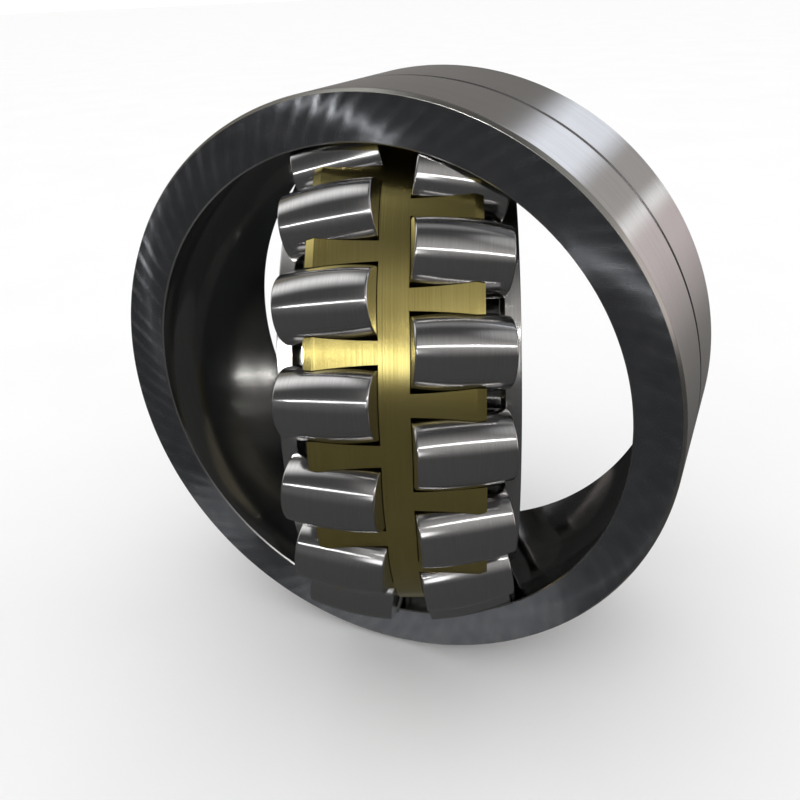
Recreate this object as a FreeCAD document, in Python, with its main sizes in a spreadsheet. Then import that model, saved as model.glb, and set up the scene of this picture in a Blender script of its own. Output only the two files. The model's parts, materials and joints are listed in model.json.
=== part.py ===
import FreeCAD, Part
import math
import os

import Sketcher

# Double-row spherical roller bearing, 280 x 500 x 176 mm, with a lubrication groove and holes
# in the outer ring and a one-piece machined cage that has prongs on both sides.
# Row frame: origin at the bearing's centre, outer ring's axis along Y, +Z up.
# At rest the inner assembly is swung about the vertical Z axis, out of the outer ring.

DIMENSIONS = [
    # alias, value in mm or degrees, what it is
    ("bore_diameter", 280, "shaft bore of the inner ring"),
    ("outer_diameter", 500, "housing seat of the outer ring"),
    ("ring_width", 176, "width of both rings"),
    ("bore_corner", 5, "corner radius at the bore"),
    ("corner_depth", 2.5, "bevel at the housing seat, along the radius"),
    ("corner_length", 4, "bevel at the housing seat, along the axis"),
    ("sphere_radius", 229, "radius of the outer ring's spherical raceway"),
    ("mouth_break", 1, "chamfer where the raceway meets the side faces"),
    ("groove_width", 6.5, "lubrication groove at the seat"),
    ("groove_floor", 3, "lubrication groove at its floor"),
    ("groove_depth", 2.5, "lubrication groove"),
    ("oil_hole_diameter", 6, "radial lubrication holes"),
    ("oil_hole_count", 3, "radial lubrication holes"),
    ("oil_hole_start", 107.5, "first hole, from +X towards +Z"),
    ("rollers_per_row", 18, "the two rows are half a pitch apart"),
    ("roller_diameter", 56, "largest diameter of the barrel"),
    ("roller_length", 70, "over both flat ends"),
    ("barrel_radius", 222, "profile radius of the barrel"),
    ("roller_corner", 1.5, "corner radius at the roller's ends"),
    ("contact_angle", 12.8, "tilt of the roller axes to the ring axis"),
    ("running_gap", 0.3, "between the rollers and both raceways"),
    ("rim_diameter", 351, "retaining flanges of the inner ring"),
    ("rim_corner", 1, "edge break of the flanges"),
    ("rim_gap", 0.5, "between the rollers' outer ends and the flanges"),
    ("guide_gap", 0.6, "around the guide ring"),
    ("guide_outer_diameter", 387, "guide ring"),
    ("cage_outer_diameter", 417, "cage"),
    ("web_inner_diameter", 388, "cage, between the two rows"),
    ("web_width", 18, "cage, between the two rows, on its inside"),
    ("prong_inner_diameter", 374, "cage prongs"),
    ("cage_width", 125, "over the tips of the prongs"),
    ("tip_bevel_length", 6, "bevel at the prong tips, along the axis"),
    ("tip_bevel_height", 2, "bevel at the prong tips, along the radius"),
    ("pocket_gap", 0.4, "around each roller in its pocket"),
    ("swing", 70.6, "inner assembly's rest angle about Z, away from the aligned position"),
    ("roller_phase", 4.3, "first roller of the rear row, about the inner axis"),
]

doc = FreeCAD.newDocument("spherical_roller_bearing")
sheet = doc.addObject("Spreadsheet::Sheet", "dims")
for line, (alias, size, note) in enumerate(DIMENSIONS, 1):
    sheet.set("A%d" % line, note)
    sheet.set("B%d" % line, str(size))
    sheet.setAlias("B%d" % line, alias)
doc.recompute()


def number(expression):
    """The value of an expression on the sheet's dimensions."""
    result = sheet.evalExpression(str(expression))
    return float(getattr(result, "Value", result))


# ---------------------------------------------------------------- derived places
# A half-section is drawn as (radius, height along the axis). A row's rollers are centred at
# (ROW_RADIUS, +-ROW_HEIGHT), and "along" is measured from there, outwards along the roller's axis.

ANGLE = "dims.contact_angle"
CENTRE_DISTANCE = "(dims.sphere_radius - dims.running_gap - dims.roller_diameter / 2)"
ROW_RADIUS = "(%s * cos(%s))" % (CENTRE_DISTANCE, ANGLE)
ROW_HEIGHT = "(%s * sin(%s))" % (CENTRE_DISTANCE, ANGLE)
HALF_WIDTH = "(dims.ring_width / 2)"
HALF_ROLLER = "(dims.roller_length / 2)"
ARC_CENTRE = "(dims.barrel_radius - dims.roller_diameter / 2)"
RACE_ARC = "(dims.barrel_radius + dims.running_gap)"


def race_depth(along):
    """Distance of the inner raceway from the roller's axis."""
    return "(sqrt(%s ^ 2 - (%s) ^ 2) - %s)" % (RACE_ARC, along, ARC_CENTRE)


def race_point(along):
    """Point of the inner raceway, on the side of the upper row."""
    depth = race_depth(along)
    radius = "(%s - (%s) * sin(%s) - %s * cos(%s))" % (ROW_RADIUS, along, ANGLE, depth, ANGLE)
    height = "(%s + (%s) * cos(%s) - %s * sin(%s))" % (ROW_HEIGHT, along, ANGLE, depth, ANGLE)
    return radius, height


def plane_height(radius, along):
    """Height, at a radius, of the plane that crosses the roller's axis squarely at "along"."""
    parts = (ROW_HEIGHT, along, ANGLE, radius, ROW_RADIUS, ANGLE)
    return "(%s + (%s) / cos(%s) + ((%s) - %s) * tan(%s))" % parts


def minus(expression):
    return "(-1 * %s)" % expression


def both_sides(points):
    """A section's upper points, joined by their mirror images, from the lowest to the highest."""
    return [(radius, minus(height)) for radius, height in reversed(points)] + points


# ---------------------------------------------------------------- sketch and feature helpers

def origin_part(body, role):
    return next(item for item in body.Origin.OriginFeatures if item.Role == role)


def new_body(name):
    body = doc.addObject("PartDesign::Body", name)
    body.Label = name
    return body


def arc_between(start, end, radius, bulge):
    """A circle's arc, always counter-clockwise, that bulges to the left or right of start-end."""
    chord = end - start
    across = FreeCAD.Vector(-chord.y, chord.x, 0).normalize() * bulge
    middle = (start + end) * 0.5
    centre = middle - across * math.sqrt(radius ** 2 - (chord.Length / 2) ** 2)
    angles = [math.atan2((point - centre).y, (point - centre).x) for point in (start, end)]
    forwards = (angles[1] - angles[0]) % (2 * math.pi) < math.pi
    low, high = angles if forwards else reversed(angles)
    circle = Part.Circle(centre, FreeCAD.Vector(0, 0, 1), radius)
    return Part.ArcOfCircle(circle, low, high), forwards


def half_section(body, name, corners, arcs=None):
    """A closed section in the XZ plane, through corners given as pairs of expressions.

    arcs gives, for an edge's number, its radius as an expression and the side that it bulges to.
    """
    arcs = arcs or {}
    sketch = body.newObject("Sketcher::SketchObject", name)
    sketch.AttachmentSupport = (origin_part(body, "XZ_Plane"), [""])
    sketch.MapMode = "FlatFace"
    places = [FreeCAD.Vector(number(across), number(up), 0) for across, up in corners]
    count = len(places)
    first_end = []
    for edge in range(count):
        start, end = places[edge], places[(edge + 1) % count]
        forwards = True
        if edge in arcs:
            radius, bulge = arcs[edge]
            curve, forwards = arc_between(start, end, number(radius), bulge)
        else:
            curve = Part.LineSegment(start, end)
        sketch.addGeometry(curve, False)
        first_end.append(1 if forwards else 2)
    for edge in range(count):
        following = (edge + 1) % count
        link = (edge, 3 - first_end[edge], following, first_end[following])
        sketch.addConstraint(Sketcher.Constraint("Coincident", *link))
    for edge, (across, up) in enumerate(corners):
        for kind, expression in (("DistanceX", across), ("DistanceY", up)):
            size = number(expression)
            made = Sketcher.Constraint(kind, -1, 1, edge, first_end[edge], size)
            index = sketch.addConstraint(made)
            sketch.setExpression("Constraints[%d]" % index, expression)
    for edge, (radius, bulge) in arcs.items():
        index = sketch.addConstraint(Sketcher.Constraint("Radius", edge, number(radius)))
        sketch.setExpression("Constraints[%d]" % index, radius)
    return sketch


def turned(body, name, corners, arcs=None):
    """A ring or a roller: the section turned once round the body's Z axis."""
    sketch = half_section(body, name + "_section", corners, arcs)
    turn = body.newObject("PartDesign::Revolution", name + "_turned")
    turn.Profile = sketch
    turn.ReferenceAxis = (sketch, ["V_Axis"])
    turn.Angle = 360
    doc.recompute()
    return turn


def is_rim(edge, radius, height):
    """Whether an edge is a circle round Z with this radius at this height, above or below."""
    curve = edge.Curve
    if not isinstance(curve, Part.Circle) or abs(curve.Radius - radius) > 0.01:
        return False
    return abs(abs(curve.Center.z) - height) < 0.01


def rounded(body, name, base, radius, height, size):
    """A fillet of a given size on the two circular edges at a radius and height."""
    edges = base.Shape.Edges
    chosen = ["Edge%d" % (i + 1) for i, edge in enumerate(edges) if is_rim(edge, radius, height)]
    fillet = body.newObject("PartDesign::Fillet", name)
    fillet.Base = (base, chosen)
    fillet.setExpression("Radius", size)
    doc.recompute()
    return fillet


def around(body, name, feature, count):
    """Copies of a cut, evenly spaced round the body's axis."""
    pattern = body.newObject("PartDesign::PolarPattern", name)
    pattern.Originals = [feature]
    pattern.Axis = (origin_part(body, "Z_Axis"), [""])
    pattern.Angle = 360
    pattern.setExpression("Occurrences", count)
    body.Tip = pattern
    return pattern


def bored(body, name, radius, length, place):
    """A cylindrical cut whose base and direction are set by a placement."""
    cut = body.newObject("PartDesign::SubtractiveCylinder", name)
    cut.setExpression("Radius", radius)
    cut.Height = length
    cut.Placement = place
    doc.recompute()
    return cut


# ---------------------------------------------------------------- placements

X_AXIS = FreeCAD.Vector(1, 0, 0)
Y_AXIS = FreeCAD.Vector(0, 1, 0)
Z_AXIS = FreeCAD.Vector(0, 0, 1)
NOWHERE = FreeCAD.Vector(0, 0, 0)


def turn_about(axis, degrees):
    return FreeCAD.Placement(NOWHERE, FreeCAD.Rotation(axis, degrees))


def shift(x, y, z):
    return FreeCAD.Placement(FreeCAD.Vector(x, y, z), FreeCAD.Rotation())


ALIGNED = turn_about(X_AXIS, -90)
SWUNG = turn_about(Z_AXIS, -number("dims.swing")) * ALIGNED


# ---------------------------------------------------------------- the rings

def make_outer_ring():
    body = new_body("outer_ring")
    seat = "(dims.outer_diameter / 2)"
    floor = "(dims.outer_diameter / 2 - dims.groove_depth)"
    mouth_height = "(%s - dims.mouth_break)" % HALF_WIDTH
    mouth_radius = "sqrt(dims.sphere_radius ^ 2 - %s ^ 2)" % mouth_height
    upper = [
        (floor, "(dims.groove_floor / 2)"),
        (seat, "(dims.groove_width / 2)"),
        (seat, "(%s - dims.corner_length)" % HALF_WIDTH),
        ("(%s - dims.corner_depth)" % seat, HALF_WIDTH),
        ("(%s + dims.mouth_break)" % mouth_radius, HALF_WIDTH),
        (mouth_radius, mouth_height),
    ]
    corners = both_sides(upper)
    # The last edge runs from the upper mouth back to the lower one: the spherical raceway.
    raceway = {len(corners) - 1: ("dims.sphere_radius", 1)}
    turned(body, "outer_ring", corners, raceway)
    # The body's Y axis points down in the row frame, so the hole's angle changes sign.
    direction = turn_about(Z_AXIS, -number("dims.oil_hole_start")) * turn_about(Y_AXIS, 90)
    hole = bored(body, "oil_hole", "dims.oil_hole_diameter / 2", 2 * number(seat), direction)
    around(body, "oil_holes", hole, "dims.oil_hole_count")
    body.Placement = ALIGNED
    return body


def make_inner_ring():
    body = new_body("inner_ring")
    bore = "(dims.bore_diameter / 2)"
    rim = "(dims.rim_diameter / 2)"
    stop = "(%s + dims.rim_gap)" % HALF_ROLLER
    upper = [
        race_point(minus(HALF_ROLLER)),
        race_point(stop),
        (rim, plane_height(rim, stop)),
        (rim, HALF_WIDTH),
        (bore, HALF_WIDTH),
    ]
    corners = both_sides(upper)
    raceways = {3: (RACE_ARC, 1), 5: (RACE_ARC, 1)}
    ring = turned(body, "inner_ring", corners, raceways)
    half = number(HALF_WIDTH)
    ring = rounded(body, "bore_corners", ring, number(bore), half, "dims.bore_corner")
    ring = rounded(body, "rim_corners", ring, number(rim), half, "dims.rim_corner")
    body.Placement = SWUNG
    return body


def make_guide_ring():
    body = new_body("guide_ring")
    inside = "(%s + dims.guide_gap)" % race_point(minus(HALF_ROLLER))[0]
    outside = "(dims.guide_outer_diameter / 2)"
    side = minus("(%s + dims.guide_gap)" % HALF_ROLLER)
    upper = [(outside, plane_height(outside, side)), (inside, plane_height(inside, side))]
    turned(body, "guide_ring", both_sides(upper))
    body.Placement = SWUNG
    return body


# ---------------------------------------------------------------- the cage

def row_angle(side, index):
    """Angle of a roller about the inner axis, with the two rows half a pitch apart."""
    pitch = 360 / number("dims.rollers_per_row")
    offset = pitch / 2 if side > 0 else 0
    return number("dims.roller_phase") + offset + index * pitch


def roller_place(side, index):
    """Place of a roller's centre in the inner assembly, its Z axis along the roller."""
    out = shift(number(ROW_RADIUS), 0, side * number(ROW_HEIGHT))
    tilt = turn_about(Y_AXIS, -side * number(ANGLE))
    return turn_about(Z_AXIS, row_angle(side, index)) * out * tilt


def make_cage():
    body = new_body("cage")
    outside = "(dims.cage_outer_diameter / 2)"
    tip = "(dims.cage_width / 2)"
    prong = "(dims.prong_inner_diameter / 2)"
    web = "(dims.web_inner_diameter / 2)"
    upper = [
        (outside, "(%s - dims.tip_bevel_length)" % tip),
        ("(%s - dims.tip_bevel_height)" % outside, tip),
        (prong, tip),
        (prong, "(dims.web_width / 2)"),
        (web, "(dims.web_width / 2)"),
    ]
    turned(body, "cage", both_sides(upper))
    radius = "dims.roller_diameter / 2 + dims.pocket_gap"
    floor = number(HALF_ROLLER) + number("dims.pocket_gap")
    length = number("dims.cage_width")
    for side, row in ((-1, "rear"), (1, "front")):
        # The cut starts at the pocket's floor and leaves through the tips of the prongs.
        outwards = turn_about(X_AXIS, 0 if side > 0 else 180)
        place = roller_place(side, 0) * outwards * shift(0, 0, -floor)
        pocket = bored(body, row + "_pocket", radius, length, place)
        around(body, row + "_pockets", pocket, "dims.rollers_per_row")
        doc.recompute()
    body.Placement = SWUNG
    return body


# ---------------------------------------------------------------- the rollers

def make_roller(name, side, index):
    body = new_body(name)
    drop = "(dims.barrel_radius - sqrt(dims.barrel_radius ^ 2 - %s ^ 2))" % HALF_ROLLER
    end = "(dims.roller_diameter / 2 - %s)" % drop
    upper = [(end, HALF_ROLLER), ("0", HALF_ROLLER)]
    barrel = {1: ("dims.barrel_radius", -1)}
    made = turned(body, name, both_sides(upper), barrel)
    rounded(body, name + "_ends", made, number(end), number(HALF_ROLLER), "dims.roller_corner")
    body.Placement = SWUNG * roller_place(side, index)
    return body


bodies = [make_outer_ring(), make_inner_ring(), make_guide_ring(), make_cage()]
for side, row in ((-1, "rear"), (1, "front")):
    for index in range(int(number("dims.rollers_per_row"))):
        bodies.append(make_roller("%s_roller_%02d" % (row, index + 1), side, index))

# ---------------------------------------------------------------- tests and output

doc.recompute()
for item in doc.Objects:
    if "Invalid" in item.State or "Error" in item.State:
        raise RuntimeError("%s is %s" % (item.Name, item.State))

os.makedirs("parts", exist_ok=True)
for body in bodies:
    shape = body.Shape
    if shape.isNull() or not shape.isValid() or len(shape.Solids) != 1:
        raise RuntimeError("%s has no single valid solid" % body.Label)
    shape.exportStep("parts/%s.step" % body.Label)
    print("%-18s %12.1f mm3" % (body.Label, shape.Volume))
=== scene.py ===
import json
import math
from collections import namedtuple

import bmesh
import bpy
from mathutils import Matrix, Vector


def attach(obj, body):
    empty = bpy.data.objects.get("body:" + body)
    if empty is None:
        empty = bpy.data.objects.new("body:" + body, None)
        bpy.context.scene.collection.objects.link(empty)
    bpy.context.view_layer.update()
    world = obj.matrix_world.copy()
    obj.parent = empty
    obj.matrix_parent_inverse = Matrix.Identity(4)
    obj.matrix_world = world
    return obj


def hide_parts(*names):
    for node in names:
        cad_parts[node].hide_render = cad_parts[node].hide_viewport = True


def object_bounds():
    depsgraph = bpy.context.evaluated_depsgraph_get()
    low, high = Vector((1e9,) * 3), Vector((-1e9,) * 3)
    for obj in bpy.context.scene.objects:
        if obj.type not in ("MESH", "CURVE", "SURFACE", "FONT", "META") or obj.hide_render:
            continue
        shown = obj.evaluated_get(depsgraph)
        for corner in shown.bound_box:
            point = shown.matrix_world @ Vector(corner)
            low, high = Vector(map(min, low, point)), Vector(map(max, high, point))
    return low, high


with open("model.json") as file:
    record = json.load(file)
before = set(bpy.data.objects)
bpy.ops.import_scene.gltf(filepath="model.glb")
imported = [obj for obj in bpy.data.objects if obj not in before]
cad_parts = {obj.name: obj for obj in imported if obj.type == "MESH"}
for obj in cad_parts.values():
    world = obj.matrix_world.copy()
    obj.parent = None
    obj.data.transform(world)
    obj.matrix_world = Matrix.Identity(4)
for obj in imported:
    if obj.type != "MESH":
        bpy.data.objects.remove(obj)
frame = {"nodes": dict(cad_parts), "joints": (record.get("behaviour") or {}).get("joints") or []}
CAD_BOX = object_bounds()
MM = 0.001

# Sizes of the bearing: millimetres and degrees, with the contact angle turned to radians.
HALF_WIDTH = 88.0
SEAT_RADIUS = 250.0
BORE_RADIUS = 140.0
CORNER_DEPTH = 2.5
CORNER_LENGTH = 4.0
BORE_CORNER = 5.0
SPHERE_RADIUS = 229.0
MOUTH_BREAK = 1.0
GROOVE_WIDTH = 6.5
GROOVE_FLOOR = 3.0
GROOVE_DEPTH = 2.5
OIL_HOLE_RADIUS = 3.0
OIL_HOLE_START = 107.5
OIL_HOLES = 3
ROLLER_RADIUS = 28.0
HALF_ROLLER = 35.0
BARREL_RADIUS = 222.0
ROLLER_CORNER = 1.5
CONTACT_ANGLE = math.radians(12.8)
RUNNING_GAP = 0.3
RIM_RADIUS = 175.5
RIM_CORNER = 1.0
RIM_GAP = 0.5
GUIDE_GAP = 0.6
GUIDE_RADIUS = 193.5
SWING = 70.6

# The cutter of an oil hole reaches from one radius to the other.
DRILL_START = 200.0
DRILL_END = 260.0

# Edges that turn by more than this are shaded sharp.
SHARP_ANGLE = math.radians(30)

# Swirled ridges that grinding leaves on the side faces: how many, radians per metre, the depth,
# and the radii between which they grow to that depth, in metres.
RIDGES = 90
RIDGE_SWEEP = 3.0
RIDGE_DEPTH = 0.00006
RIDGES_START = 0.213
RIDGES_END = 0.247

# The two families of grinding arcs there: the radii between which they turn, in metres, and the
# angle from the circle to the way across the scratch at each of them, in radians, inwards.
ARCS_START = 0.219
ARCS_END = 0.247
FIRST_ARCS_SLANT = (0.64, 0.26)
SECOND_ARCS_SLANT = (-1.03, -0.48)

CENTRE_DISTANCE = SPHERE_RADIUS - RUNNING_GAP - ROLLER_RADIUS
ROW_RADIUS = CENTRE_DISTANCE * math.cos(CONTACT_ANGLE)
ROW_HEIGHT = CENTRE_DISTANCE * math.sin(CONTACT_ANGLE)
ARC_CENTRE = BARREL_RADIUS - ROLLER_RADIUS

# Frames whose Z axis is a ring's axis.
OUTER_FRAME = Matrix.Rotation(math.radians(-90), 4, "X")
INNER_FRAME = Matrix.Rotation(math.radians(-SWING), 4, "Z") @ OUTER_FRAME


# ------------------------------------------------------------------ turned meshes

def rounded_corner(before, corner, after, radius, steps):
    """Points of a fillet at a profile's corner, with one more point on each side to hold it."""
    corner = Vector(corner)
    first = (Vector(before) - corner).normalized()
    second = (Vector(after) - corner).normalized()
    half = first.angle(second) / 2
    back = radius / math.tan(half)
    centre = corner + (first + second).normalized() * (radius / math.sin(half))
    start = corner + first * back
    end = corner + second * back
    points = [start + first * 0.3 * radius]
    start_ray = start - centre
    turn = start_ray.angle_signed(end - centre)
    for step in range(steps + 1):
        ray = start_ray.copy()
        ray.rotate(Matrix.Rotation(-turn * step / steps, 2))
        points.append(centre + ray)
    points.append(end + second * 0.3 * radius)
    return [tuple(point) for point in points]


def smooth_profile(corners, steps):
    """A closed profile from (radius, height, fillet) corners; a fillet of 0 keeps the point."""
    count = len(corners)
    points = []
    for index, (across, up, fillet) in enumerate(corners):
        if fillet:
            before = corners[index - 1][:2]
            after = corners[(index + 1) % count][:2]
            points += rounded_corner(before, (across, up), after, fillet, steps)
        else:
            points.append((across, up))
    return points


def lathe(name, profile, around):
    """A closed mesh of revolution about Z, from a closed profile in millimetres."""
    shape = bmesh.new()
    rings = []
    for across, up in profile:
        if across < 1e-6:
            rings.append([shape.verts.new((0, 0, up * MM))])
            continue
        ring = []
        for step in range(around):
            angle = 2 * math.pi * step / around
            place = (across * math.cos(angle), across * math.sin(angle), up)
            ring.append(shape.verts.new(Vector(place) * MM))
        rings.append(ring)
    pairs = zip(rings, rings[1:] + rings[:1])
    for lower, upper in pairs:
        if len(lower) == 1 and len(upper) == 1:
            continue
        for step in range(around):
            following = (step + 1) % around
            if len(lower) == 1:
                corners = (lower[0], upper[following], upper[step])
            elif len(upper) == 1:
                corners = (lower[step], lower[following], upper[0])
            else:
                corners = (lower[step], lower[following], upper[following], upper[step])
            shape.faces.new(corners)
    bmesh.ops.recalc_face_normals(shape, faces=shape.faces)
    mesh = bpy.data.meshes.new(name)
    shape.to_mesh(mesh)
    shape.free()
    mesh.shade_smooth()
    mesh.set_sharp_from_angle(angle=SHARP_ANGLE)
    return mesh


def place(name, mesh, matrix, body, node, slot):
    """Puts a mesh on its body, in place of the plain CAD node."""
    piece = bpy.data.objects.new(name, mesh)
    bpy.context.scene.collection.objects.link(piece)
    piece.matrix_world = matrix
    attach(piece, body)
    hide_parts(node)
    return piece


def sphere_arc(steps):
    """The outer ring's raceway, from its upper mouth down to its lower one."""
    reach = math.asin((HALF_WIDTH - MOUTH_BREAK) / SPHERE_RADIUS)
    arc = []
    for step in range(steps + 1):
        angle = reach * (1 - 2 * step / steps)
        arc.append((SPHERE_RADIUS * math.cos(angle), SPHERE_RADIUS * math.sin(angle)))
    return arc


def apply_modifiers(piece):
    """Replaces a piece's mesh with the result of its modifiers."""
    graph = bpy.context.evaluated_depsgraph_get()
    mesh = bpy.data.meshes.new_from_object(piece.evaluated_get(graph))
    piece.modifiers.clear()
    old = piece.data
    piece.data = mesh
    bpy.data.meshes.remove(old)


def make_outer_ring():
    """The outer ring, with the groove and the oil holes."""
    arc = sphere_arc(steps=56)
    mouth = arc[0][0]
    floor = SEAT_RADIUS - GROOVE_DEPTH
    upper = [
        (floor, GROOVE_FLOOR / 2, 0.5),
        (SEAT_RADIUS, GROOVE_WIDTH / 2, 0.5),
        (SEAT_RADIUS, HALF_WIDTH - CORNER_LENGTH, 3.0),
        (SEAT_RADIUS - CORNER_DEPTH, HALF_WIDTH, 0.3),
        (mouth + MOUTH_BREAK, HALF_WIDTH, 0.3),
    ]
    lower = [(across, -up, fillet) for across, up, fillet in reversed(upper)]
    race = [(across, up, 0) for across, up in arc]
    profile = smooth_profile(upper + race + lower, steps=5)
    mesh = lathe("outer_ring_turned", profile, around=384)
    ring = place("outer_ring_ground", mesh, OUTER_FRAME, "outer_ring", "outer_ring", "ring_steel")
    outline = [
        (0, DRILL_START),
        (OIL_HOLE_RADIUS, DRILL_START),
        (OIL_HOLE_RADIUS, DRILL_END),
        (0, DRILL_END),
    ]
    for hole in range(OIL_HOLES):
        angle = math.radians(-OIL_HOLE_START - 360 / OIL_HOLES * hole)
        drill = lathe("drill", outline, around=48)
        cutter = bpy.data.objects.new("drill", drill)
        bpy.context.scene.collection.objects.link(cutter)
        turn = Matrix.Rotation(angle, 4, "Z") @ Matrix.Rotation(math.radians(90), 4, "Y")
        cutter.matrix_world = OUTER_FRAME @ turn
        cut = ring.modifiers.new("oil_hole", "BOOLEAN")
        cut.operation = "DIFFERENCE"
        cut.solver = "EXACT"
        cut.object = cutter
        bpy.context.view_layer.update()
        apply_modifiers(ring)
        bpy.data.objects.remove(cutter)
    ring.data.shade_smooth()
    ring.data.set_sharp_from_angle(angle=SHARP_ANGLE)
    return ring


def race_point(along):
    """Point (radius, height) of the inner raceway, seen from the upper row's roller axis."""
    depth = math.sqrt((BARREL_RADIUS + RUNNING_GAP) ** 2 - along ** 2) - ARC_CENTRE
    sine = math.sin(CONTACT_ANGLE)
    cosine = math.cos(CONTACT_ANGLE)
    across = ROW_RADIUS - along * sine - depth * cosine
    up = ROW_HEIGHT + along * cosine - depth * sine
    return across, up


def plane_height(across, along):
    """Height, at a radius, of the plane square to the roller's axis at "along"."""
    tilt = math.tan(CONTACT_ANGLE)
    return ROW_HEIGHT + along / math.cos(CONTACT_ANGLE) + (across - ROW_RADIUS) * tilt


def make_inner_ring():
    """The inner ring: two raceways, a rim at each end, and the bore."""
    stop = HALF_ROLLER + RIM_GAP
    race = []
    steps = 28
    for step in range(steps + 1):
        race.append((*race_point(-HALF_ROLLER + (HALF_ROLLER + stop) * step / steps), 0))
    upper = race + [
        (RIM_RADIUS, plane_height(RIM_RADIUS, stop), 0.6),
        (RIM_RADIUS, HALF_WIDTH, RIM_CORNER),
        (BORE_RADIUS, HALF_WIDTH, BORE_CORNER),
    ]
    lower = [(across, -up, fillet) for across, up, fillet in reversed(upper)]
    profile = smooth_profile(lower + upper, steps=5)
    mesh = lathe("inner_ring_turned", profile, around=320)
    return place("inner_ring_ground", mesh, INNER_FRAME, "inner_ring", "inner_ring", "ring_steel")


def make_guide_ring():
    """The loose ring between the two rows of rollers."""
    inside = race_point(-HALF_ROLLER)[0] + GUIDE_GAP
    side = -HALF_ROLLER - GUIDE_GAP
    upper = [
        (GUIDE_RADIUS, plane_height(GUIDE_RADIUS, side), 0.8),
        (inside, plane_height(inside, side), 0.5),
    ]
    lower = [(across, -up, fillet) for across, up, fillet in reversed(upper)]
    profile = smooth_profile(lower + upper, steps=4)
    mesh = lathe("guide_ring_turned", profile, around=256)
    return place("guide_ring_turned", mesh, INNER_FRAME, "guide_ring", "guide_ring", "guide_iron")


def roller_mesh():
    """One barrel roller, its axis along Z."""
    end = math.sqrt(BARREL_RADIUS ** 2 - HALF_ROLLER ** 2) - ARC_CENTRE
    steps = 28
    barrel = []
    for step in range(1, steps):
        up = HALF_ROLLER * (2 * step / steps - 1)
        barrel.append((math.sqrt(BARREL_RADIUS ** 2 - up ** 2) - ARC_CENTRE, up, 0))
    corners = [(0, -HALF_ROLLER, 0), (end, -HALF_ROLLER, ROLLER_CORNER)] + barrel
    corners += [(end, HALF_ROLLER, ROLLER_CORNER), (0, HALF_ROLLER, 0)]
    return lathe("barrel_roller", smooth_profile(corners, steps=6), around=128)


def make_rollers():
    """A roller at each roller's joint, its axis along the joint's; all of them share a mesh."""
    mesh = roller_mesh()
    made = []
    for joint in frame["joints"]:
        node = joint["child"]
        if "roller" not in node:
            continue
        axis = Vector(joint["axis"]).normalized()
        turn = axis.to_track_quat("Z", "Y").to_matrix().to_4x4()
        matrix = Matrix.Translation(Vector(joint["pos_m"])) @ turn
        made.append(place(node + "_ground", mesh, matrix, node, node, "roller_steel"))
    return made


# ------------------------------------------------------------------ materials

Polar = namedtuple("Polar", "place radius height cosine sine angle")


class Tree:
    """Short calls for building one node tree."""

    def __init__(self, tree):
        self.tree = tree
        tree.nodes.clear()

    def node(self, kind, inputs=None, **settings):
        made = self.tree.nodes.new(kind)
        for name, setting in settings.items():
            setattr(made, name, setting)
        for socket, source in (inputs or {}).items():
            if isinstance(source, bpy.types.NodeSocket):
                self.tree.links.new(source, made.inputs[socket])
            else:
                made.inputs[socket].default_value = source
        return made

    def math(self, operation, *sources):
        return self.node("ShaderNodeMath", dict(enumerate(sources)), operation=operation).outputs[0]

    def vector(self, x, y, z):
        return self.node("ShaderNodeCombineXYZ", {0: x, 1: y, 2: z}).outputs[0]

    def noise(self, vector, scale, detail=2.0, roughness=0.5):
        inputs = {"Vector": vector, "Scale": scale, "Detail": detail, "Roughness": roughness}
        return self.node("ShaderNodeTexNoise", inputs).outputs["Fac"]

    def ramp(self, source, *stops):
        """A colour ramp; each stop is (position, colour)."""
        made = self.node("ShaderNodeValToRGB", {0: source})
        elements = made.color_ramp.elements
        elements[0].position, elements[0].color = stops[0][0], (*stops[0][1], 1)
        elements[1].position, elements[1].color = stops[-1][0], (*stops[-1][1], 1)
        for position, colour in stops[1:-1]:
            elements.new(position).color = (*colour, 1)
        return made.outputs[0]

    def range(self, source, low, high, to_low, to_high):
        inputs = {0: source, 1: low, 2: high, 3: to_low, 4: to_high}
        return self.node("ShaderNodeMapRange", inputs).outputs[0]

    def bump(self, height, distance, normal=None):
        inputs = {"Height": height, "Distance": distance, "Strength": 1.0}
        if normal is not None:
            inputs["Normal"] = normal
        return self.node("ShaderNodeBump", inputs).outputs[0]

    def polar(self):
        """The shaded point in the object's frame, and its polar coordinates about the Z axis."""
        place = self.node("ShaderNodeTexCoord").outputs["Object"]
        parts = self.node("ShaderNodeSeparateXYZ", {0: place}).outputs
        radius = self.math("SQRT", self.math("ADD", self.math("MULTIPLY", parts[0], parts[0]),
                                             self.math("MULTIPLY", parts[1], parts[1])))
        cosine = self.math("DIVIDE", parts[0], radius)
        sine = self.math("DIVIDE", parts[1], radius)
        angle = self.math("ARCTAN2", parts[1], parts[0])
        return Polar(place, radius, parts[2], cosine, sine, angle)

    def finish(self, **inputs):
        named = {name.replace("_", " "): source for name, source in inputs.items()}
        shader = self.node("ShaderNodeBsdfPrincipled", named)
        self.node("ShaderNodeOutputMaterial", {0: shader.outputs[0]})


def material(name):
    made = bpy.data.materials.new(name)
    made.use_nodes = True
    return made, Tree(made.node_tree)


def radial_tangent(tree):
    return tree.node("ShaderNodeTangent", direction_type="RADIAL", axis="Z").outputs[0]


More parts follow.
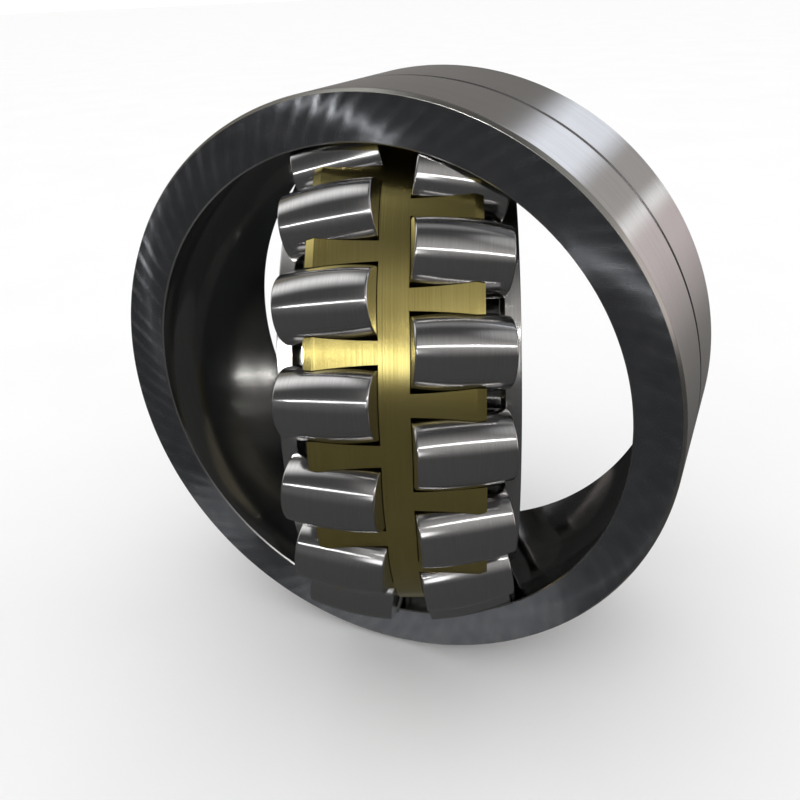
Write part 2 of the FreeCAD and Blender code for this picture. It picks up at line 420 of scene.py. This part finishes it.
def turned_steel(name, light, dark, roughness, lines, depth, anisotropy):
    """Steel ground on a lathe: fine lines round the object's Z axis, with faint blotches."""
    made, tree = material(name)
    point = tree.polar()
    along = tree.vector(tree.math("MULTIPLY", point.height, lines),
                        tree.math("MULTIPLY", point.radius, lines),
                        tree.math("MULTIPLY", point.sine, 0.6))
    fine = tree.noise(along, 1.0, 3.0, 0.6)
    blotch = tree.noise(point.place, 9.0, 3.0)
    mixed = tree.math("ADD", tree.math("MULTIPLY", fine, 0.55), tree.math("MULTIPLY", blotch, 0.45))
    colour = tree.ramp(mixed, (0.3, dark), (0.7, light))
    rough = tree.range(mixed, 0.25, 0.75, roughness * 1.2, roughness * 0.85)
    tree.finish(Base_Color=colour, Metallic=1.0, Roughness=rough, Anisotropic=anisotropy,
                Anisotropic_Rotation=0.25, Tangent=radial_tangent(tree),
                Normal=tree.bump(fine, depth))
    return made


def crosshatched_face(name):
    """A side face ground by a cup wheel: crossing arcs, and shallow swirled ridges; its colour is
    painted shade, darker than the seat's, with a painted sheen on the crests.
    """
    made, tree = material(name)
    point = tree.polar()
    crest, relief = swirled_ridges(tree, point)
    coarse = tree.noise(point.place, 60.0)
    first_arcs = tree.math("GREATER_THAN", tree.noise(point.place, 9000.0, 2.0, 0.6), 0.5)
    scratch = tree.noise(point.place, 7000.0, 1.0)
    deep = tree.math("GREATER_THAN", scratch, tree.range(crest, 0.0, 1.0, 0.71, 0.48))
    groove = tree.range(first_arcs, 0.0, 1.0, 0.25, 0.37)
    rough = tree.math("ADD", tree.math("MULTIPLY", deep, groove),
                      tree.math("MULTIPLY", tree.math("SUBTRACT", 1.0, deep), 0.14))
    # The crests lighten the colour: a painted sheen along the ridges.
    shade = tree.math("ADD", tree.math("MULTIPLY", crest, 0.3), tree.math("MULTIPLY", coarse, 0.7))
    # Painted shade: the face's steel is coloured darker than the seat's.
    colour = tree.ramp(shade, (0.25, (0.30, 0.31, 0.335)), (0.75, (0.44, 0.45, 0.465)))
    bumped = tree.bump(relief, RIDGE_DEPTH, tree.bump(coarse, 0.00003))
    tree.finish(Base_Color=colour, Metallic=1.0, Roughness=rough, Anisotropic=1.0,
                Tangent=scratch_tangent(tree, point, first_arcs), Normal=bumped)
    return made


def swirled_ridges(tree, point):
    """The ridges' crests, from 0 to 1, and their relief; both fade towards +X, in patches, and inwards.
    The crests lighten the face's colour, a painted sheen, so the fade towards +X is painted shade there.
    """
    inwards = tree.math("SUBTRACT", SEAT_RADIUS * MM, point.radius)
    swirl = tree.math("MULTIPLY", inwards, RIDGE_SWEEP)
    phase = tree.math("MULTIPLY", tree.math("ADD", point.angle, swirl), float(RIDGES))
    wander = tree.math("MULTIPLY", tree.noise(point.place, 16.0, 1.0), 3.0)
    ridge = tree.math("SINE", tree.math("ADD", phase, wander))
    patch = tree.range(tree.noise(point.place, 24.0), 0.35, 0.60, 0.25, 1.0)
    # Smaller towards +X and in patches; through the colour this is painted shade on the +X side.
    patchy_fade_and_shade_towards_x = tree.math("MULTIPLY", tree.range(point.cosine, 0.05, 0.6, 1.0, 0.4), patch)
    fade = tree.math("MULTIPLY", tree.range(point.radius, RIDGES_START, RIDGES_END, 0.25, 1.0),
                     patchy_fade_and_shade_towards_x)
    crest = tree.math("MULTIPLY", tree.range(ridge, -0.5, 1.0, 0.0, 1.0), fade)
    return crest, tree.math("MULTIPLY", ridge, fade)


def scratch_tangent(tree, point, first_arcs):
    """World direction across the scratch: two families of arcs, each turning with radius."""
    first = tree.range(point.radius, ARCS_START, ARCS_END, *FIRST_ARCS_SLANT)
    second = tree.range(point.radius, ARCS_START, ARCS_END, *SECOND_ARCS_SLANT)
    slant = tree.math("ADD", tree.math("MULTIPLY", first, first_arcs),
                      tree.math("MULTIPLY", second, tree.math("SUBTRACT", 1.0, first_arcs)))
    along = tree.math("COSINE", slant)
    across = tree.math("SINE", slant)
    x = tree.math("SUBTRACT",
                  tree.math("MULTIPLY", point.sine, tree.math("MULTIPLY", along, -1.0)),
                  tree.math("MULTIPLY", point.cosine, across))
    y = tree.math("SUBTRACT", tree.math("MULTIPLY", point.cosine, along),
                  tree.math("MULTIPLY", point.sine, across))
    return tree.node("ShaderNodeVectorTransform", {0: tree.vector(x, y, 0.0)}, vector_type="VECTOR",
                     convert_from="OBJECT", convert_to="WORLD").outputs[0]


def brass():
    """Machined brass: fine lines round the inner ring's axis, and soft clouds."""
    made, tree = material("satin_brass")
    place = tree.node("ShaderNodeTexCoord").outputs["Object"]
    turn = tree.node("ShaderNodeMapping", {"Vector": place}, vector_type="TEXTURE")
    turn.inputs["Rotation"].default_value = INNER_FRAME.to_euler()
    parts = tree.node("ShaderNodeSeparateXYZ", {0: turn.outputs[0]}).outputs
    lines = tree.vector(tree.math("MULTIPLY", parts[2], 900.0), tree.math("MULTIPLY", parts[0], 3.0),
                        tree.math("MULTIPLY", parts[1], 3.0))
    fine = tree.noise(lines, 1.0, 2.0, 0.6)
    cloud = tree.noise(place, 22.0, 4.0)
    mixed = tree.math("ADD", tree.math("MULTIPLY", fine, 0.5), tree.math("MULTIPLY", cloud, 0.5))
    colour = tree.ramp(mixed, (0.3, (0.53, 0.43, 0.13)), (0.7, (0.74, 0.63, 0.24)))
    tree.finish(Base_Color=colour, Metallic=1.0, Roughness=tree.range(mixed, 0.25, 0.75, 0.24, 0.18),
                Normal=tree.bump(fine, 0.00003))
    return made


# ------------------------------------------------------------------ studio

# How far the floor reaches each way, and how far it lies below the bearing, in metres.
FLOOR_REACH = 60.0
FLOOR_GAP = 0.0002

# The eye and matt surfaces see white, and reflections show a dim studio with a few soft boxes.
WHITE_LEVEL = 1.14
DIM = (0.06, 0.06, 0.06)

# The left boxes give way to the right ones between these two cosines of the angle from the inner
# ring's axis, which points to the right.
SIDE_BLEND = (-0.28, -0.10)

# Long soft boxes, which run along that axis: side, angle round the axis from the horizon in front,
# half-width of the glow, both in degrees, and colour.
LONG_BOXES = (
    ("left", 105, 35, (1.2, 1.2, 1.2)),
    ("left", 20, 30, (0.12, 0.12, 0.12)),
    ("left", 150, 30, (0.3, 0.27, 0.2)),
    ("right", 45, 40, (0.45, 0.44, 0.43)),
    ("right", 112, 15, (0.3, 0.3, 0.3)),
)

# Round soft boxes: azimuth, elevation, inner and outer half-angle in degrees, colour.
ROUND_BOXES = (
    (15, 25, 3, 9, (2.4, 2.4, 2.4)),
    (103, 18, 8, 24, (1.2, 1.1, 1.1)),
    (105, 50, 6, 20, (0.5, 0.5, 0.5)),
)

# The backdrop behind the ring: the radius of its opening and its own, how far behind the ring's
# centre it stands, all in metres, and the steps round it.
WALL_OPENING = 0.33
WALL_RADIUS = 1.4
WALL_DISTANCE = 0.6
WALL_STEPS = 96

# What the backdrop shows: a warm pale panel, a narrow lamp, a cool window and a dim roof, by the
# angle in degrees from +X towards +Z.
DARK = (0.03, 0.03, 0.03)
WARM_PANEL = (0.7, 0.62, 0.62)
LAMP = (1.2, 1.2, 1.2)
GAP = (0.45, 0.43, 0.42)
WINDOW = (1.1, 1.15, 1.25)
ROOF = (0.2, 0.19, 0.18)
BACK_WALL = (
    (-60, DARK), (-15, ROOF), (15, WARM_PANEL), (25, WARM_PANEL), (30, LAMP), (35, GAP), (48, GAP),
    (56, WINDOW), (70, WINDOW), (80, ROOF), (140, ROOF), (170, DARK),
)

# Both ends of each strip light and its width, in metres, and its watts.
STRIPS = (
    ((-0.42, -0.79, 0.34), (0.26, -1.28, 0.71), 0.016, 0.6),
    ((0.27, -0.78, 0.62), (0.59, -0.28, 0.37), 0.016, 0.4),
)

# Lamps that only the two rings see: centre, length, width and radiance.
FACE_LAMPS = (
    ((-0.074, -1.033, 0.528), 0.12, 0.04, 700.0),
    ((-0.20, -0.65, -0.74), 0.62, 0.50, 0.20),
    ((-0.60, -0.61, -0.572), 0.14, 0.14, 0.22),
)

# The camera, fitted to the photograph's view: place in metres, the ways to its right and ahead,
# and lens in millimetres.
CAMERA_PLACE = Vector((0.2877, -0.6608, 0.3127))
CAMERA_RIGHT = Vector((0.9167, 0.3968, -0.0462))
CAMERA_FORWARD = Vector((-0.3760, 0.8180, -0.4353))
CAMERA_LENS = 38.43


def direction(azimuth, elevation):
    """Unit vector; azimuth 0 is towards -Y and 90 towards +X."""
    a = math.radians(azimuth)
    e = math.radians(elevation)
    return Vector((math.sin(a) * math.cos(e), -math.cos(a) * math.cos(e), math.sin(e)))


def make_floor():
    """A pale floor that the camera sees and reflections don't."""
    shape = bmesh.new()
    bmesh.ops.create_grid(shape, x_segments=1, y_segments=1, size=FLOOR_REACH)
    mesh = bpy.data.meshes.new("floor")
    shape.to_mesh(mesh)
    shape.free()
    floor = bpy.data.objects.new("floor", mesh)
    bpy.context.scene.collection.objects.link(floor)
    floor.location.z = CAD_BOX[0].z - FLOOR_GAP
    floor.visible_glossy = False
    floor.visible_shadow = False
    made, tree = material("pale_floor")
    place = tree.node("ShaderNodeTexCoord").outputs["Object"]
    colour = tree.ramp(tree.noise(place, 3.0, 4.0), (0.3, (0.89, 0.89, 0.89)), (0.7, (0.91, 0.91, 0.91)))
    tree.finish(Base_Color=colour, Roughness=0.9)
    mesh.materials.append(made)


def make_world():
    """White for the eye and for matt surfaces; for reflections, a dim studio with soft boxes."""
    world = bpy.data.worlds.new("studio")
    bpy.context.scene.world = world
    world.use_nodes = True
    tree = Tree(world.node_tree)
    way = tree.node("ShaderNodeTexCoord").outputs["Generated"]

    def towards(aim):
        product = tree.node("ShaderNodeVectorMath", {0: way, 1: aim}, operation="DOT_PRODUCT")
        return product.outputs["Value"]

    def blend(weight, first, second):
        inputs = {0: weight, 6: first, 7: (*second, 1)}
        return tree.node("ShaderNodeMix", inputs, data_type="RGBA").outputs[2]

    def smooth(source, low, high):
        inputs = {0: source, 1: low, 2: high, 3: 0.0, 4: 1.0}
        return tree.node("ShaderNodeMapRange", inputs, interpolation_type="SMOOTHSTEP").outputs[0]

    ahead = INNER_FRAME.to_3x3() @ Vector((1, 0, 0))
    aside = INNER_FRAME.to_3x3() @ Vector((0, 0, 1))
    turn = tree.math("ARCTAN2", towards(Vector((0, 0, 1))), towards(ahead))
    right = smooth(towards(aside), *SIDE_BLEND)
    sides = {"right": right, "left": tree.math("SUBTRACT", 1.0, right)}
    total = (*DIM, 1)
    for side, centre, reach, colour in LONG_BOXES:
        off = tree.math("ABSOLUTE", tree.math("SUBTRACT", turn, math.radians(centre)))
        near = tree.math("SUBTRACT", 1.0, smooth(off, 0.0, math.radians(reach)))
        total = blend(tree.math("MULTIPLY", near, sides[side]), total, colour)
    for azimuth, elevation, inner, outer, colour in ROUND_BOXES:
        near = towards(direction(azimuth, elevation))
        weight = smooth(near, math.cos(math.radians(outer)), math.cos(math.radians(inner)))
        total = blend(weight, total, colour)
    reflected = tree.node("ShaderNodeBackground", {0: total, 1: 1.0}).outputs[0]
    white = tree.node("ShaderNodeBackground", {0: (1.0, 1.0, 1.0, 1.0), 1: WHITE_LEVEL}).outputs[0]
    glossy = tree.node("ShaderNodeLightPath").outputs["Is Glossy Ray"]
    both = tree.node("ShaderNodeMixShader", {0: glossy, 1: white, 2: reflected}).outputs[0]
    tree.node("ShaderNodeOutputWorld", {0: both})


def make_back_wall():
    """A glowing backdrop with a round opening behind the ring, seen only in reflections."""
    shape = bmesh.new()
    rings = []
    turns = [2 * math.pi * step / WALL_STEPS for step in range(WALL_STEPS)]
    for radius in (WALL_OPENING, WALL_RADIUS):
        rings.append([shape.verts.new((radius * math.cos(turn), 0, radius * math.sin(turn)))
                      for turn in turns])
    for step in range(WALL_STEPS):
        following = (step + 1) % WALL_STEPS
        shape.faces.new((rings[0][step], rings[1][step], rings[1][following], rings[0][following]))
    mesh = bpy.data.meshes.new("back_wall")
    shape.to_mesh(mesh)
    shape.free()
    wall = bpy.data.objects.new("back_wall", mesh)
    bpy.context.scene.collection.objects.link(wall)
    wall.location.y = WALL_DISTANCE
    wall.visible_camera = False
    wall.visible_diffuse = False
    wall.visible_shadow = False
    made, tree = material("lit_wall")
    place = tree.node("ShaderNodeTexCoord").outputs["Object"]
    parts = tree.node("ShaderNodeSeparateXYZ", {0: place}).outputs
    share = tree.range(tree.math("ARCTAN2", parts[2], parts[0]), -math.pi, math.pi, 0.0, 1.0)
    colour = tree.ramp(share, *[((angle + 180) / 360, shade) for angle, shade in BACK_WALL])
    glow = tree.node("ShaderNodeEmission", {0: colour, 1: 1.0})
    tree.node("ShaderNodeOutputMaterial", {0: glow.outputs[0]})
    mesh.materials.append(made)


def area_lamp(name, outline, length, width, watts, matrix):
    """A lamp that is seen only in reflections."""
    data = bpy.data.lights.new(name, "AREA")
    data.shape = outline
    data.size = length
    data.size_y = width
    data.energy = watts
    lamp = bpy.data.objects.new(name, data)
    bpy.context.scene.collection.objects.link(lamp)
    lamp.matrix_world = matrix
    lamp.visible_camera = False
    lamp.visible_diffuse = False
    return lamp


def make_lights():
    """The strip lights, each turned to face the bearing."""
    for number, (start, end, width, watts) in enumerate(STRIPS):
        start = Vector(start)
        end = Vector(end)
        middle = (start + end) / 2
        along = (end - start).normalized()
        away = (middle - along * middle.dot(along)).normalized()
        turn = Matrix((along, away.cross(along), away)).transposed().to_4x4()
        matrix = Matrix.Translation(middle) @ turn
        area_lamp("strip_%d" % number, "RECTANGLE", (end - start).length, width, watts, matrix)


def make_face_lamps(*rings):
    """A bright lamp for the glints on the ground faces, and soft ones for their lower half."""
    lit = bpy.data.collections.new("ground_faces")
    for ring in rings:
        lit.objects.link(ring)
    for number, (centre, length, width, radiance) in enumerate(FACE_LAMPS):
        centre = Vector(centre)
        turn = centre.to_track_quat("Z", "X").to_matrix().to_4x4()
        area = math.pi * length * width / 4
        watts = radiance * math.pi * area
        matrix = Matrix.Translation(centre) @ turn
        lamp = area_lamp("face_lamp_%d" % number, "ELLIPSE", length, width, watts, matrix)
        lamp.light_linking.receiver_collection = lit


def make_camera():
    data = bpy.data.cameras.new("camera")
    data.sensor_width = 36.0
    data.lens = CAMERA_LENS
    data.clip_end = 200.0
    camera = bpy.data.objects.new("camera", data)
    bpy.context.scene.collection.objects.link(camera)
    up = CAMERA_RIGHT.cross(CAMERA_FORWARD).normalized()
    right = CAMERA_FORWARD.cross(up).normalized()
    turn = Matrix((right, up, -CAMERA_FORWARD)).transposed().to_4x4()
    camera.matrix_world = Matrix.Translation(CAMERA_PLACE) @ turn
    bpy.context.scene.camera = camera


# ------------------------------------------------------------------ build

make_camera()
make_floor()
make_world()
make_back_wall()
make_lights()

# The side faces' steel is coloured darker than the seat's: painted shade.
face_steel_painted_shade = crosshatched_face("ring_face_ground_painted_shade")
seat_steel = turned_steel("ring_seat_ground", (0.67, 0.66, 0.65), (0.53, 0.52, 0.51), 0.20,
                          900.0, 0.000006, 0.7)
# The raceways' honed steel is coloured darker than the seat's: painted shade inside the rings.
raceway_painted_shade_steel = turned_steel("raceway_honed_painted_shade", (0.34, 0.34, 0.33), (0.20, 0.205, 0.195), 0.09,
                          500.0, 0.000002, 0.3)
corner_steel = turned_steel("ring_corner_turned", (0.44, 0.43, 0.40), (0.34, 0.33, 0.30), 0.26,
                            900.0, 0.00001, 0.5)
# The groove's steel is coloured far darker than the seat's: painted shade for the recess.
groove_painted_shade_steel = turned_steel("groove_turned_painted_shade", (0.26, 0.25, 0.25), (0.18, 0.17, 0.17), 0.30,
                            1500.0, 0.00001, 0.3)
roller_steel = turned_steel("roller_steel_ground", (0.68, 0.67, 0.665), (0.50, 0.495, 0.49), 0.15,
                            2500.0, 0.000003, 0.6)
guide_iron = turned_steel("guide_iron_turned", (0.40, 0.40, 0.40), (0.30, 0.30, 0.30), 0.35,
                          1500.0, 0.00001, 0.5)
brass_finish = brass()


def paint(mesh, finishes, rule):
    """Gives each face the finish that the rule picks from its centre and normal."""
    for finish in finishes:
        mesh.materials.append(finish)
    for face in mesh.polygons:
        face.material_index = rule(face.center / MM, face.normal)


def is_side_face(centre, normal):
    """Whether a face lies flat at one end of its ring."""
    return abs(normal.z) > 0.999 and abs(centre.z) > HALF_WIDTH - 0.1


# Places of the finishes in a ring's material list.
FACE = 0
SEAT = 1
RACE = 2
GROOVE = 3
CORNER = 4


def outer_rule(centre, normal):
    """Which finish a face of the outer ring has."""
    if math.hypot(centre.x, centre.y) < SEAT_RADIUS - 0.1 and abs(centre.z) < GROOVE_WIDTH / 2:
        if centre.length > SEAT_RADIUS - GROOVE_DEPTH - 0.5:
            return GROOVE
    if abs(centre.z) > HALF_WIDTH - CORNER_LENGTH - 0.2 and centre.length > SEAT_RADIUS:
        return CORNER
    if is_side_face(centre, normal):
        return FACE
    if centre.length < SPHERE_RADIUS + 0.3 and abs(centre.z) < HALF_WIDTH - MOUTH_BREAK:
        return RACE
    return SEAT


def inner_rule(centre, normal):
    """Which finish a face of the inner ring has."""
    if is_side_face(centre, normal):
        return FACE
    radius = math.hypot(centre.x, centre.y)
    low = race_point(-HALF_ROLLER)[1]
    high = race_point(HALF_ROLLER + RIM_GAP)[1]
    if radius > BORE_RADIUS + 10 and low < abs(centre.z) < high:
        return RACE
    return SEAT


ring = make_outer_ring()
paint(ring.data, (face_steel_painted_shade, seat_steel, raceway_painted_shade_steel, groove_painted_shade_steel, corner_steel), outer_rule)
inner = make_inner_ring()
paint(inner.data, (face_steel_painted_shade, seat_steel, raceway_painted_shade_steel), inner_rule)
guide = make_guide_ring()
guide.data.materials.append(guide_iron)
make_face_lamps(ring, inner)
rollers = make_rollers()
rollers[0].data.materials.append(roller_steel)
cage = frame["nodes"]["cage"]
for slot in cage.material_slots:
    slot.material = brass_finish

bpy.context.scene.view_settings.view_transform = "Standard"

bpy.context.view_layer.update()
